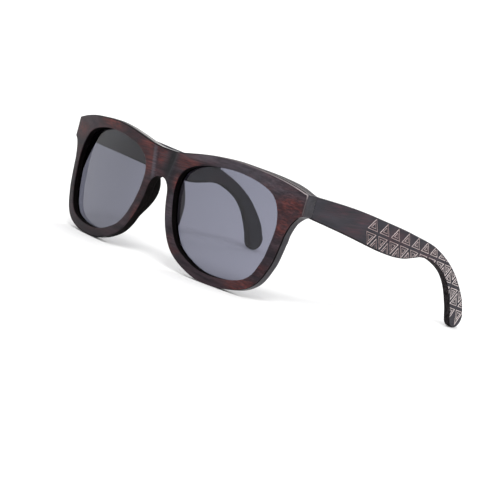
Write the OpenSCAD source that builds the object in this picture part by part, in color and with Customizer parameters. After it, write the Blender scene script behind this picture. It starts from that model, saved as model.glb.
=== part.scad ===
// Wooden sunglasses with a bowed one-piece front, tinted lenses and folding temples.
// Each temple turns on a sprung hinge: an eye on a sliding tongue, pulled home by a coil spring.
// Millimetres. The glasses stand on the lower rims and the temple tips at z = 0.
// The front faces -Y, the temples run towards +Y, and +X is the wearer's left.

/* [Front] */
// Width over the end pieces
front_w = 144; // [138:0.5:152]
// Thickness of the front board
front_t = 4.6; // [4.5:0.1:6]
// Radius of the bow of the front face
bow_r = 233; // [180:1:320]
// Fall of the brow line from its highest point to the middle of the bridge
bridge_dip = 4.3; // [3:0.1:6]
// Height of the nose arch's crown above the middle of the lenses
arch_rise = 9.65; // [8:0.05:11]
// Wood under the lens
rim_low = 3.9; // [3:0.1:5]
// Wood above the lens at the highest point of the brow
rim_top = 4.2; // [3:0.1:6]
// Wood beside the lens, below the end piece
rim_side = 4; // [3.4:0.1:5.6]
// Wood between the lens and the nose
rim_nose = 4; // [3.6:0.1:5.2]
// Radius of the hollow across the front of the bridge
scoop_r = 24; // [18:1:40]
// Depth of that hollow at the brow line
scoop_top = 1.2; // [0.6:0.1:1.6]
// Depth of that hollow at the nose arch
scoop_low = 0.5; // [0.3:0.1:0.8]

/* [Lenses] */
// Width of a lens opening
lens_w = 52.3; // [48:0.1:55]
// Height of a lens opening
lens_h = 43.3; // [39:0.1:46]
// Distance between the two openings
bridge_w = 20; // [17:0.1:23]
// Thickness of a lens
lens_t = 1.2; // [0.8:0.1:1.3]
// Depth of the lens behind the front face
lens_inset = 2.8; // [2.2:0.1:2.9]
// How far the lens edge is let into the wood
groove = 0.8; // [0.5:0.1:1]
// Play between the lens edge and its groove
lens_play = 0.05; // [0.02:0.01:0.1]

/* [Nose pads] */
// Height of a pad's middle above the middle of the lenses
pad_rise = 1.5; // [0:0.1:3]
// Length of a pad
pad_l = 20; // [16:0.5:23]
// How far a pad stands behind the front board
pad_out = 3.2; // [2.5:0.1:5]
// Margin of wood left around a pad
pad_margin = 0.5; // [0.3:0.1:0.8]
// Glue line between a piece and the wood that carries it
glue = 0.03; // [0.02:0.01:0.08]

/* [End pieces] */
// Fall of the brow line from its highest point to the upper outer corner
end_drop = 4.5; // [3:0.1:6]
// Height of an end piece at the seam
end_h = 8.9; // [8.4:0.1:10]
// Depth of an end piece from its front edge to the seam
end_d = 5.5; // [4.6:0.1:7]
// How far the thick block behind an end piece reaches inwards
end_block = 10.6; // [10:0.1:13]
// Slope run from that block down to the front board
end_slope = 16.4; // [10:0.1:18]
// Thickness of the brace below an end block, at its top
brace_t = 3; // [1:0.1:3.4]
// Length of the brace down the rim
brace_l = 13; // [8:0.5:14]
// Softness of the corner between an end piece and the rim below it
notch_soft = 1.6; // [0.8:0.1:2.4]

/* [Temples] */
// Reach of a temple from the seam to its rearmost point
temple_reach = 123.4; // [116:0.1:131]
// Distance from the seam to the start of the ear bend
temple_bend = 80; // [75:0.5:84]
// Fall of the temple's middle line from the seam to the bend
temple_fall = 9.5; // [7:0.1:12]
// Height of a temple at its widest
temple_h = 12.7; // [11:0.1:14]
// Height of a temple at the ear bend
neck_h = 6.2; // [5.6:0.1:7.4]
// Width of the tip
tip_w = 9.8; // [8.4:0.1:11]
// Thickness of a temple at the hinge
temple_t = 4.2; // [3.8:0.1:5]
// Thickness of a temple at the tip
tip_t = 3.4; // [2.8:0.1:3.8]
// Length of even thickness behind the hinge housing
flat_run = 10; // [5:1:20]
// Angle by which a temple leans inwards when open
temple_toe = 2.5; // [0:0.1:4]
// Gap of the seam between end piece and temple
seam_gap = 0.1; // [0.06:0.01:0.2]

/* [Hinges] */
// Radius of a knuckle
knuckle_r = 1.3; // [1.2:0.05:1.5]
// Diameter of the pivot screw
pivot_d = 1.2; // [1:0.05:1.3]
// Radial play of the pivot screw in the eye
pivot_play = 0.04; // [0.02:0.01:0.08]
// Height of the slider's eye
eye_h = 3; // [2.6:0.1:3.2]
// Height of each knuckle on the front leaf
knuckle_h = 1.6; // [1.4:0.05:1.7]
// Axial play beside the eye
knuckle_gap = 0.06; // [0.04:0.01:0.1]
// Distance of the pivot behind the seam
pivot_back = 2.4; // [2.3:0.1:3]
// Distance of the knuckles from the temple's inner face
knuckle_off = 0.3; // [0.25:0.05:0.5]
// Thickness of the front leaf's plate
leaf_t = 1; // [0.8:0.1:1.2]
// Length of the front leaf's plate inwards from the pivot
leaf_l = 4.6; // [4.3:0.1:5]
// Diameter of the small wood screws
screw_d = 1.2; // [1:0.05:1.3]
// Head diameter of the wood screws
screw_head = 2; // [1.8:0.05:2.2]
// Length of a leaf screw in the wood
leaf_screw_l = 4.5; // [3:0.1:5]
// Length of a temple screw in the wood
temple_screw_l = 2.6; // [2:0.1:3]
// Head diameter of the pivot screw
pivot_head = 2.3; // [2:0.05:2.5]
// Head thickness of the pivot screw
pivot_head_t = 0.7; // [0.5:0.05:0.9]

/* [Spring units] */
// Start of the housing behind the pivot
housing_gap = 2.8; // [2.6:0.1:3.2]
// Length of the housing's body
housing_l = 11.6; // [11.2:0.1:12.4]
// Height of the housing
housing_h = 4.2; // [4:0.1:4.6]
// Housing thickness on the inner side of its bore axis
housing_in = 1.6; // [1.55:0.05:1.75]
// Depth by which the housing is let into the temple
inlay = 1; // [0.8:0.1:1.4]
// Length of the housing's screw tab
tab_l = 6.6; // [6:0.1:8]
// Thickness of the slider's tongue
tongue_t = 1.5; // [1.3:0.05:1.7]
// Height of the slider's tongue
tongue_h = 2.4; // [2:0.1:2.6]
// Play of the tongue in its slot
tongue_play = 0.06; // [0.04:0.01:0.1]
// Depth of the tongue in its slot
tongue_in = 2.3; // [2.1:0.1:2.5]
// Stroke of the slider
stroke = 1.6; // [1:0.1:1.8]
// Thickness of the wall that the spring pushes on
shoulder = 1; // [0.8:0.1:1.2]
// Diameter of the slider's rod
rod_d = 0.9; // [0.8:0.05:1]
// Bore of the spring chamber
chamber_d = 2.4; // [2.3:0.05:2.5]
// Wire of the spring
wire_d = 0.36; // [0.3:0.02:0.38]
// Mean diameter of the spring
coil_d = 1.6; // [1.5:0.05:1.65]
// Curls of the spring
curls = 6.5; // [5:0.5:6.5]
// Room for the spring between shoulder and collar
spring_l = 6; // [5.8:0.1:6.4]
// Thickness of the collar that holds the spring
collar_t = 0.9; // [0.6:0.1:1]

/* [Hidden] */
$fn = 48;

wood = [0.2, 0.13, 0.11];
temple_wood = [0.16, 0.12, 0.12];
steel = [0.3, 0.3, 0.32];
tint = [0.4, 0.4, 0.44, 0.6];

// Points per stretch of a curve
steps = 6;
// Overrun of a cut
over = 1;

half_w = front_w / 2;
lens_x = bridge_w / 2 + lens_w / 2;
lens_z = rim_low + lens_h / 2;
brow_z = rim_low + lens_h + rim_top;
bridge_top = brow_z - bridge_dip;
nose_arch = lens_z + arch_rise;
pad_z = lens_z + pad_rise;
end_top = brow_z - end_drop;
end_z = end_top - end_h;
bow_y = bow_r - sqrt(bow_r * bow_r - half_w * half_w);
seam_y = bow_y + end_d;
hinge_z = end_top - end_h / 2;
// Local place of the pivot: across and along the temple
pivot_x = -temple_t - knuckle_off - knuckle_r;
pin_x = half_w + pivot_x * cos(temple_toe) - pivot_back * sin(temple_toe);
pin_y = seam_y + pivot_x * sin(temple_toe) + pivot_back * cos(temple_toe);
stack_h = eye_h + 2 * knuckle_gap + 2 * knuckle_h;
mid_y = (seam_y + temple_reach * cos(temple_toe)) / 2;
housing_s = pivot_back + housing_gap;
tongue_s = housing_s + tongue_in;
shoulder_s = tongue_s + stroke * 0.3;
chamber_s = shoulder_s + shoulder;
collar_s = chamber_s + spring_l;
housing_out = -temple_t + inlay - pivot_x;

// Half of the lens opening's box, clockwise from the outer side
lens_shape = [[1, 0.3], [0.962, -0.233], [0.9, -0.51], [0.79, -0.765], [0.58, -0.92], [0.2, -1],
    [-0.2, -0.96], [-0.628, -0.722], [-0.857, -0.352], [-0.982, 0.118], [-0.99, 0.5], [-0.85, 0.755],
    [-0.5, 0.925], [0.1, 1], [0.6, 0.915], [0.875, 0.72]];

// Curve through the points a, b, c, d, between b and c
function through(a, b, c, d, t) =
    0.5 * (2 * b + (c - a) * t + (2 * a - 5 * b + 4 * c - d) * t * t + (3 * b - a - 3 * c + d) * t * t * t);

// Open curve through a list of points
function curve(p, n) = concat([for (i = [0:len(p) - 2], j = [0:n - 1])
    through(i > 0 ? p[i - 1] : 2 * p[0] - p[1], p[i], p[i + 1],
        i < len(p) - 2 ? p[i + 2] : 2 * p[i + 1] - p[i], j / n)], [p[len(p) - 1]]);

// Closed curve through a list of points
function loop(p, n) = [for (i = [0:len(p) - 1], j = [0:n - 1])
    through(p[(i + len(p) - 1) % len(p)], p[i], p[(i + 1) % len(p)], p[(i + 2) % len(p)], j / n)];

// Point i of a closed outline, moved outwards by d
function outward(p, i, d) =
    let (a = p[(i + len(p) - 1) % len(p)], b = p[(i + 1) % len(p)], v = (b - a) / norm(b - a))
    p[i] + d * [-v[1], v[0]];

// Quadratic bend from a to c, drawn towards b
function bend(a, b, c, n) = [for (i = [0:n]) let (t = i / n)
    (1 - t) * (1 - t) * a + 2 * t * (1 - t) * b + t * t * c];

opening = loop([for (p = lens_shape) [lens_x + p[0] * lens_w / 2, lens_z + p[1] * lens_h / 2]], steps);
function grown(d) = [for (i = [0:len(opening) - 1]) outward(opening, i, d)];

// Width of the rim at stretch t of the opening, from the outer side round to the nose
function rim(t) = rim_low + (rim_side - rim_low) * pow(max(0, 1 - t / 3), 2)
    + (rim_nose - rim_low) * max(0, (t - 6) / 3.5);
// Stretch at which the rim turns into the nose arch
rim_last = 9.25;
rim_run = [for (i = [ceil(steps / 4):floor(rim_last * steps)]) outward(opening, i, rim(i / steps))];
rim_end = rim_run[len(rim_run) - 1];

// Brow line from the middle of the bridge to the outer corner, in shares of the lens, the dip and the drop
brow = curve([[0, bridge_top], [bridge_w * 0.4, bridge_top + bridge_dip * 0.1],
    [bridge_w, bridge_top + bridge_dip * 0.6], [lens_x - lens_w * 0.115, brow_z - bridge_dip * 0.09],
    [lens_x + lens_w * 0.076, brow_z], [lens_x + lens_w * 0.344, brow_z - end_drop * 0.18],
    [half_w - lens_w * 0.153, end_top + end_drop * 0.467], [half_w, end_top]], steps);
notch = bend([half_w, end_z], [rim_run[0][0] + notch_soft, end_z - notch_soft], rim_run[0], steps);
arch = bend(rim_end, [rim_end[0] * 0.84, nose_arch], [0, nose_arch], steps);
half_front = concat(brow, notch, [for (i = [1:len(rim_run) - 1]) rim_run[i]], [for (i = [1:steps]) arch[i]]);
front_outline = concat(half_front,
    [for (i = [len(half_front) - 2:-1:1]) [-half_front[i][0], half_front[i][1]]]);

// Middle line of a temple: reach, height and half width, from the seam over the ear bend to the tip
bend_z = hinge_z - temple_fall;
tip_c = [temple_reach - tip_w / 2, tip_w / 2];
tail = [tip_c[0] - temple_bend, tip_c[1] - bend_z];
temple_line = [[-over, hinge_z, end_h / 2],
    [temple_bend * 0.34, hinge_z - temple_fall * 0.36, temple_h * 0.45],
    [temple_bend * 0.675, hinge_z - temple_fall * 0.81, temple_h * 0.5],
    [temple_bend * 0.825, hinge_z - temple_fall * 0.955, temple_h * 0.465],
    [temple_bend * 0.912, hinge_z - temple_fall * 0.98, temple_h * 0.385],
    [temple_bend, bend_z, neck_h * 0.6],
    [temple_bend + tail[0] * 0.223, bend_z + tail[1] * 0.057, neck_h * 0.5],
    [temple_bend + tail[0] * 0.504, bend_z + tail[1] * 0.221, neck_h * 0.46],
    [temple_bend + tail[0] * 0.722, bend_z + tail[1] * 0.447, tip_w * 0.35],
    [temple_bend + tail[0] * 0.909, bend_z + tail[1] * 0.761, tip_w * 0.465],
    [tip_c[0], tip_c[1], tip_w * 0.5]];
temple_mid = curve(temple_line, steps);
function ribbon(i, side) =
    let (n = len(temple_mid), a = temple_mid[max(0, i - 1)], b = temple_mid[min(n - 1, i + 1)],
        v = [b[0] - a[0], b[1] - a[1]], u = v / norm(v), w = i == 0 ? [0, 1] : [-u[1], u[0]])
    [temple_mid[i][0], temple_mid[i][1]] + side * temple_mid[i][2] * w;
tip_n = len(temple_mid) - 1;
tip_top = ribbon(tip_n, 1);
tip_start = atan2(tip_top[1] - tip_c[1], tip_top[0] - tip_c[0]);
temple_outline = concat([for (i = [0:tip_n]) ribbon(i, 1)],
    [for (i = [1:9]) tip_c + tip_w / 2 * [cos(tip_start - i * 18), sin(tip_start - i * 18)]],
    [for (i = [tip_n:-1:0]) ribbon(i, -1)]);

// Moves the whole part so that its box is centred on the origin
module stand() {
    translate([0, -mid_y, 0]) children();
}

// Draws a piece on the wearer's left, or mirrored on the right
module on_side(side) {
    mirror([side < 0 ? 1 : 0, 0, 0]) children();
}

// Frame of an open temple: origin at the outer edge of the seam, Y along the temple
module along_temple() {
    translate([half_w, seam_y, 0]) rotate([0, 0, temple_toe]) children();
}

// Solid between two heights behind the front, from an outline in X and Z
module through_front(outline, y0, y1) {
    translate([0, y1, 0]) rotate([90, 0, 0]) linear_extrude(y1 - y0) polygon(outline);
}

// Bowed sheet between two depths behind the front face
module bowed(depth, thick) {
    translate([0, bow_r, -over]) difference() {
        cylinder(h = brow_z + 2 * over, r = bow_r - depth, $fn = 180);
        translate([0, 0, -over]) cylinder(h = brow_z + 4 * over, r = bow_r - depth - thick, $fn = 180);
    }
}

// Countersunk screw, head flush at z = 0 and shank running down
module wood_screw(length) {
    difference() {
        rotate_extrude() polygon([[0, 0], [screw_head / 2, 0], [screw_d / 2, -(screw_head - screw_d) / 2],
            [screw_d / 2, -length + screw_d / 2], [0, -length]]);
        translate([-screw_head, -0.12, -0.25]) cube([2 * screw_head, 0.24, 0.5]);
    }
}

// Hole that such a screw fills
module screw_hole(length) {
    rotate_extrude() polygon([[0, over], [screw_head / 2 + glue, over], [screw_head / 2 + glue, 0],
        [screw_d / 2 + glue, -(screw_head - screw_d) / 2], [screw_d / 2 + glue, -length - glue],
        [0, -length - glue]]);
}

// Places of the front leaf's screws
module at_leaf_screws() {
    for (s = [-1, 1]) translate([pin_x - leaf_l + screw_head / 2 + 0.4, seam_y, hinge_z + s * stack_h * 0.28])
        rotate([-90, 0, 0]) children();
}

// Places of the temple screws, on the housing's tab
module at_temple_screws() {
    for (s = [0.28, 0.76]) along_temple()
        translate([-temple_t, housing_s + housing_l + s * tab_l, hinge_z]) rotate([0, -90, 0]) children();
}

module front_frame() {
    color(wood) stand() difference() {
        intersection() {
            through_front(front_outline, -over, seam_y);
            union() {
                bowed(0, front_t);
                for (s = [1, -1]) on_side(s) {
                    end_block();
                    end_brace();
                }
            }
        }
        for (s = [1, -1]) on_side(s) {
            through_front(opening, -2 * over, seam_y + over);
            intersection() {
                through_front(grown(groove), -over, seam_y);
                bowed(lens_inset - lens_play, lens_t + 2 * lens_play);
            }
            translate([pin_x - leaf_l - glue, seam_y - leaf_t - glue, hinge_z - stack_h / 2 - glue])
                cube([leaf_l + knuckle_r + 2 * glue, leaf_t + over, stack_h + 2 * glue]);
            at_leaf_screws() screw_hole(leaf_screw_l);
        }
        bridge_hollow();
    }
}

// Thick wood behind an end piece, which carries the hinge and slopes down to the back of the front board
module end_block() {
    foot_x = half_w - end_block - end_slope;
    foot_y = bow_r - sqrt(pow(bow_r - front_t, 2) - pow(foot_x, 2));
    intersection() {
        translate([0, 0, end_z]) linear_extrude(brow_z)
            polygon([[half_w + over, -over], [half_w + over, seam_y], [half_w - end_block, seam_y],
                [foot_x, foot_y], [foot_x, -over]]);
        translate([0, bow_r, -over]) cylinder(h = brow_z + 2 * over, r = bow_r, $fn = 180);
    }
}

// Brace that thins out from the block down the inner side of the rim
module end_brace() {
    edge_x = lens_x + lens_w / 2;
    inner = edge_x - rim_side / 2;
    outer = edge_x + rim_side;
    inner_y = bow_r - sqrt(pow(bow_r - front_t, 2) - pow(inner, 2));
    outer_y = bow_r - sqrt(pow(bow_r - front_t, 2) - pow(outer, 2));
    sunk = front_t / 2;
    hull() {
        for (top = [0, 1]) translate([0, 0, end_z - (top ? 0 : brace_l)])
            linear_extrude(top ? over : over / 100)
                polygon([[inner, inner_y - sunk], [inner, inner_y + top * brace_t],
                    [outer, outer_y], [outer, outer_y - sunk]]);
    }
}

// Shallow hollow across the bridge, deeper at the brow line
module bridge_hollow() {
    rise = bridge_top - nose_arch;
    lean = atan((scoop_top - scoop_low) / rise);
    translate([0, scoop_low - scoop_r, nose_arch]) rotate([-lean, 0, 0])
        translate([0, 0, -rise]) cylinder(h = 3 * rise, r = scoop_r, $fn = 120);
}

module lens(side) {
    color(tint) stand() on_side(side) intersection() {
        through_front(grown(groove - lens_play), -over, seam_y);
        bowed(lens_inset, lens_t);
    }
}

// Domed pad glued behind the nose side of a rim
module nose_pad(side) {
    first = 7 * steps;
    last = 11 * steps;
    inner = [for (i = [first:last]) outward(opening, i, pad_margin)];
    outer = [for (i = [last:-1:first]) outward(opening, i, rim(min(i / steps, rim_last)) - pad_margin)];
    dome_r = (pad_l * pad_l / 4 + pad_out * pad_out) / (2 * pad_out);
    back_y = bow_r - sqrt(pow(bow_r - front_t, 2) - pow(bridge_w / 2, 2));
    color(wood) stand() on_side(side) intersection() {
        through_front(concat(inner, outer), 0, seam_y);
        bowed(front_t + glue, pad_out * 2);
        translate([bridge_w / 2 - rim_nose / 2, back_y + pad_out - dome_r, pad_z])
            sphere(r = dome_r, $fn = 200);
    }
}

module front_hinge_leaf(side) {
    color(steel) stand() on_side(side) difference() {
        union() {
            translate([pin_x - leaf_l, seam_y - leaf_t, hinge_z - stack_h / 2])
                cube([leaf_l + knuckle_r, leaf_t, stack_h]);
            for (s = [0, 1]) translate([0, 0, hinge_z - stack_h / 2 + s * (stack_h - knuckle_h)]) {
                translate([pin_x, pin_y, 0]) cylinder(h = knuckle_h, r = knuckle_r);
                translate([pin_x - knuckle_r * 0.8, seam_y - leaf_t / 2, 0])
                    cube([knuckle_r * 1.6, pin_y - seam_y + leaf_t / 2, knuckle_h]);
            }
        }
        translate([pin_x, pin_y, hinge_z - stack_h]) cylinder(h = 2 * stack_h, d = pivot_d + 2 * glue);
        at_leaf_screws() screw_hole(leaf_screw_l);
    }
}

module front_leaf_screws() {
    color(steel) stand() for (s = [1, -1]) on_side(s) at_leaf_screws() wood_screw(leaf_screw_l);
}

module pivot_screw(side) {
    color(steel) stand() on_side(side) translate([pin_x, pin_y, hinge_z]) difference() {
        union() {
            translate([0, 0, -stack_h / 2]) cylinder(h = stack_h + pivot_head_t / 2, d = pivot_d);
            translate([0, 0, stack_h / 2 + glue]) cylinder(h = pivot_head_t, d = pivot_head);
        }
        translate([-pivot_head, -0.15, stack_h / 2 + glue + pivot_head_t / 2])
            cube([2 * pivot_head, 0.3, pivot_head_t]);
    }
}

// Eye, tongue and rod in one piece
module hinge_slider(side) {
    rod_end = collar_s + collar_t;
    color(steel) stand() on_side(side) along_temple() translate([pivot_x, 0, hinge_z]) difference() {
        union() {
            translate([0, pivot_back, -eye_h / 2]) cylinder(h = eye_h, r = knuckle_r);
            translate([-tongue_t / 2, pivot_back, -tongue_h / 2])
                cube([tongue_t, tongue_s - pivot_back, tongue_h]);
            translate([0, tongue_s - over / 2, 0]) rotate([-90, 0, 0])
                cylinder(h = rod_end - tongue_s + over / 2, d = rod_d);
        }
        translate([0, pivot_back, -eye_h]) cylinder(h = 2 * eye_h, d = pivot_d + 2 * pivot_play);
    }
}

// Points of one ring of the spring's wire
function wire_ring(i, n) =
    let (a = 360 * curls * i / n, r = coil_d / 2, w = wire_d / 2, run = spring_l - wire_d - 2 * glue)
    [for (k = [0:5]) let (b = k * 60 + 30)
        [(r + w * cos(b)) * cos(a), glue + wire_d / 2 + run * i / n + w * sin(b), (r + w * cos(b)) * sin(a)]];

// Coil spring on the rod, between shoulder and collar
module spring(side) {
    n = 8 * ceil(curls);
    rings = [for (i = [0:n]) wire_ring(i, n)];
    points = [for (q = rings) each q];
    walls = [for (i = [0:n - 1], k = [0:5]) let (a = 6 * i + k, b = 6 * i + (k + 1) % 6)
        each [[a, b, a + 6], [b, b + 6, a + 6]]];
    caps = [for (k = [1:4]) each [[0, k + 1, k], [6 * n, 6 * n + k, 6 * n + k + 1]]];
    color(steel) stand() on_side(side) along_temple() translate([pivot_x, chamber_s, hinge_z])
        polyhedron(points, concat(walls, caps));
}

module spring_collar(side) {
    color(steel) stand() on_side(side) along_temple()
        translate([pivot_x, collar_s, hinge_z]) rotate([-90, 0, 0])
        difference() {
            cylinder(h = collar_t, d = chamber_d - 4 * tongue_play);
            translate([0, 0, -over]) cylinder(h = collar_t + 2 * over, d = rod_d + 2 * glue);
        }
}

// Sleeve let into the temple, with a tab for its screws
module hinge_housing(side) {
    end_s = housing_s + housing_l;
    color(steel) stand() difference() {
        on_side(side) along_temple() translate([pivot_x, 0, hinge_z]) difference() {
            union() {
                translate([-housing_in, housing_s, -housing_h / 2])
                    cube([housing_in + housing_out, housing_l, housing_h]);
                translate([housing_out - inlay, end_s - over, -housing_h / 2])
                    cube([inlay, tab_l + over, housing_h]);
            }
            translate([-tongue_t / 2 - tongue_play, housing_s - over, -tongue_h / 2 - tongue_play])
                cube([tongue_t + 2 * tongue_play, shoulder_s - housing_s + over, tongue_h + 2 * tongue_play]);
            translate([0, housing_s, 0]) rotate([-90, 0, 0])
                cylinder(h = housing_l, d = rod_d + 2 * tongue_play);
            translate([0, chamber_s, 0]) rotate([-90, 0, 0]) cylinder(h = housing_l, d = chamber_d);
        }
        on_side(side) at_temple_screws() screw_hole(temple_screw_l);
    }
}

module temple(side) {
    flat_s = housing_s + housing_l + tab_l + flat_run;
    color(temple_wood) stand() on_side(side) difference() {
        along_temple() difference() {
            intersection() {
                translate([-temple_t, 0, 0]) rotate([90, 0, 90]) linear_extrude(temple_t)
                    polygon(temple_outline);
                translate([0, 0, -over]) linear_extrude(brow_z + 2 * over)
                    polygon([[0, -2 * over], [0, temple_reach + over], [-tip_t, temple_reach + over],
                        [-temple_t, flat_s], [-temple_t, -2 * over]]);
            }
            translate([-temple_t - over, housing_s - glue, hinge_z - housing_h / 2 - glue])
                cube([over + inlay + glue, housing_l + tab_l + 2 * glue, housing_h + 2 * glue]);
        }
        translate([0, seam_y + seam_gap - end_block, -over]) cube([front_w, end_block, brow_z + 2 * over]);
        at_temple_screws() screw_hole(temple_screw_l);
    }
}

module temple_screws(side) {
    color(steel) stand() on_side(side) at_temple_screws() wood_screw(temple_screw_l);
}

// Least gap between two curls of the spring
coil_pitch = (spring_l - wire_d - 2 * glue) / curls;
echo(spring_gap = coil_pitch - wire_d);

front_frame();
lens(1);  // lens_left
lens(-1);  // lens_right
nose_pad(1);  // nose_pad_left
nose_pad(-1);  // nose_pad_right
front_hinge_leaf(1);  // front_hinge_leaf_left
front_hinge_leaf(-1);  // front_hinge_leaf_right
front_leaf_screws();
pivot_screw(1);  // pivot_screw_left
pivot_screw(-1);  // pivot_screw_right
hinge_slider(1);  // hinge_slider_left
hinge_slider(-1);  // hinge_slider_right
spring(1);  // spring_left
spring(-1);  // spring_right
spring_collar(1);  // spring_collar_left
spring_collar(-1);  // spring_collar_right
hinge_housing(1);  // hinge_housing_left
hinge_housing(-1);  // hinge_housing_right
temple(1);  // temple_left
temple(-1);  // temple_right
temple_screws(1);  // temple_screws_left
temple_screws(-1);  // temple_screws_right
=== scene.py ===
"""Looks of the wooden sunglasses: softened front and temples, engraved triangles, tinted lenses and
dark hinges."""
import math

import bmesh
import bpy
import numpy as np
from mathutils import Matrix, Vector, kdtree
from mathutils.geometry import delaunay_2d_cdt


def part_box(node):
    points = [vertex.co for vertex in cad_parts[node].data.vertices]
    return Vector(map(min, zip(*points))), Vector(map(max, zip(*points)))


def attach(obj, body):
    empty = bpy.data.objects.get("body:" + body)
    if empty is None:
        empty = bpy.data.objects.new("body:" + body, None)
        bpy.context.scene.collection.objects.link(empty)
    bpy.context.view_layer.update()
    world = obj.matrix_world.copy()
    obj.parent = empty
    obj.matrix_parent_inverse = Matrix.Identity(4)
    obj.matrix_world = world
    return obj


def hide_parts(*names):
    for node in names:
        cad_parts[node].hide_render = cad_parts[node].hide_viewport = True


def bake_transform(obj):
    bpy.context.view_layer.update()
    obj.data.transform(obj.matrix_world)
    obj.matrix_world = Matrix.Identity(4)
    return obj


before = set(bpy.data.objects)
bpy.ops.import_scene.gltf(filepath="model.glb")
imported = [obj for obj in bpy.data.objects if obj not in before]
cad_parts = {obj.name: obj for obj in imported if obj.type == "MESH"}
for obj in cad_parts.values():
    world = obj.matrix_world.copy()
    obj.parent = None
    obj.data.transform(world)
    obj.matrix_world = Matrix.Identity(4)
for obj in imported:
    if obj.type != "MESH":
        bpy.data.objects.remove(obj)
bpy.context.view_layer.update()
MM = 0.001

# Sizes of the solids, in millimetres
HALF_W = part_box("front_frame")[1].x / MM
FRONT_T = 4.6
BOW_R = 233
BRIDGE_DIP, ARCH_RISE = 4.3, 9.65
RIM_LOW, RIM_TOP, RIM_SIDE, RIM_NOSE = 3.9, 4.2, 4.0, 4.0
SCOOP_R, SCOOP_TOP, SCOOP_LOW = 24, 1.2, 0.5
LENS_W, LENS_H, BRIDGE_W = 52.3, 43.3, 20
LENS_T, LENS_INSET, GROOVE, LENS_PLAY = 1.2, 2.8, 0.8, 0.05
PAD_RISE, PAD_L, PAD_MARGIN = 1.5, 20, 0.5
GLUE = 0.03
END_DROP, END_H, END_D, END_BLOCK, END_SLOPE, NOTCH_SOFT = 4.5, 8.9, 5.5, 10.6, 16.4, 1.6
BRACE_T, BRACE_L = 3, 13
REACH, BEND, FALL = 123.4, 80, 9.5
TEMPLE_H, NECK_H, TIP_W, TEMPLE_T, TIP_T = 12.7, 6.2, 9.8, 4.2, 3.4
TOE = math.radians(2.5)
SEAM_GAP = 0.1
LEAF_L, LEAF_T, KNUCKLE_R, STACK_H = 4.6, 1.0, 1.3, 6.32
PIVOT_BACK, KNUCKLE_OFF = 2.4, 0.3
HOUSING_S, HOUSING_L, HOUSING_H, TAB_L, INLAY, FLAT_RUN = 5.2, 11.6, 4.2, 6.6, 1.0, 10
TONGUE_IN, STROKE, SHOULDER = 2.3, 1.6, 1.0
COIL_D, WIRE_D, CURLS, SPRING_L = 1.6, 0.36, 6.5, 6

# Nose pads, which stand further out than the solids do: height and extra reach in millimetres, faces across,
# powers of the dome and of the fall to the ends, and the shares of the half length where they stop and of the
# width on the lens side that is paler wood as painted light, the rest being near-black as painted shade
PAD_OUT, PAD_REACH, PAD_ACROSS = 4.8, 2, 16
PAD_DOME, PAD_FALL, PAD_STOP, PAD_LIT = 2.6, 1.3, 0.97, 0.4

# Rounding of the edges, in millimetres, its steps, and the angle from which an edge stays sharp
EDGE_FRONT, EDGE_OPENING, EDGE_BACK, EDGE_SEAM = 0.4, 0.3, 0.8, 0.1
EDGE_TEMPLE_OUT, EDGE_TEMPLE_IN = 0.35, 0.9
ROUND_STEPS = 4
LENS_SOFT = 0.25
SHARP = math.radians(35)

# Stretches of the front board, as distances from its middle in millimetres
FINE_BRIDGE, BRIDGE_REACH, NOSE_REACH = 11, 14, 26
FINE_END, SEAM_FROM, END_REACH, SEAM_FULL = 54, 60, 62, 66

# Layers seen in the front board's outer wall, as depths behind the front face, and the groove in the pale one
VENEER, PALE_PLY, PALE_PLY_T, PLY_GROOVE = 1.2, 2.3, 0.35, 0.04

# Spacing of the points along outlines and inside faces, in millimetres
STEP, LENS_STEP = 0.5, 0.8
FILL, LENS_FILL = 1.3, 2
HAIR, TINY = 0.002, 1e-5

# Points inside faces: how many times closer the fine ones lie, and their rows' distance and least distance from an
# outline as shares of the spacing
FINER, ROW_RISE, CLEAR = 2.2, 0.866, 0.6

# Values that follow from these
LENS_X = BRIDGE_W / 2 + LENS_W / 2
LENS_Z = RIM_LOW + LENS_H / 2
BROW_Z = RIM_LOW + LENS_H + RIM_TOP
BRIDGE_TOP = BROW_Z - BRIDGE_DIP
NOSE_ARCH = LENS_Z + ARCH_RISE
PAD_Z = LENS_Z + PAD_RISE
END_TOP = BROW_Z - END_DROP
END_Z = END_TOP - END_H
HINGE_Z = END_TOP - END_H / 2
BEND_Z = HINGE_Z - FALL
SEAM_Y = BOW_R - math.sqrt(BOW_R**2 - HALF_W**2) + END_D
MID_Y = (SEAM_Y + REACH * math.cos(TOE)) / 2
PIVOT_X = -TEMPLE_T - KNUCKLE_OFF - KNUCKLE_R
SPRING_S = HOUSING_S + TONGUE_IN + STROKE * 0.3 + SHOULDER
PIN_X = HALF_W + PIVOT_X * math.cos(TOE) - PIVOT_BACK * math.sin(TOE)

# Lens opening as shares of its half width and half height, clockwise from the outer side
LENS_SHAPE = [(1, 0.3), (0.962, -0.233), (0.9, -0.51), (0.79, -0.765), (0.58, -0.92), (0.2, -1),
              (-0.2, -0.96), (-0.628, -0.722), (-0.857, -0.352), (-0.982, 0.118), (-0.99, 0.5), (-0.85, 0.755),
              (-0.5, 0.925), (0.1, 1), (0.6, 0.915), (0.875, 0.72)]
CURVE_STEPS = 12

# Points of that outline where the rim ends at the nose arch, where the nose pads start and end, and from where
# their rim stays as wide
RIM_END, PAD_FIRST, PAD_LAST, PAD_RIM = 9.2, 7, 11, 9.4


# Curves and outlines

def through(a, b, c, d, t):
    """Point between b and c on the curve through a, b, c, d."""
    return 0.5 * (2 * b + (c - a) * t + (2 * a - 5 * b + 4 * c - d) * t**2 + (3 * b - a - 3 * c + d) * t**3)


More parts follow.
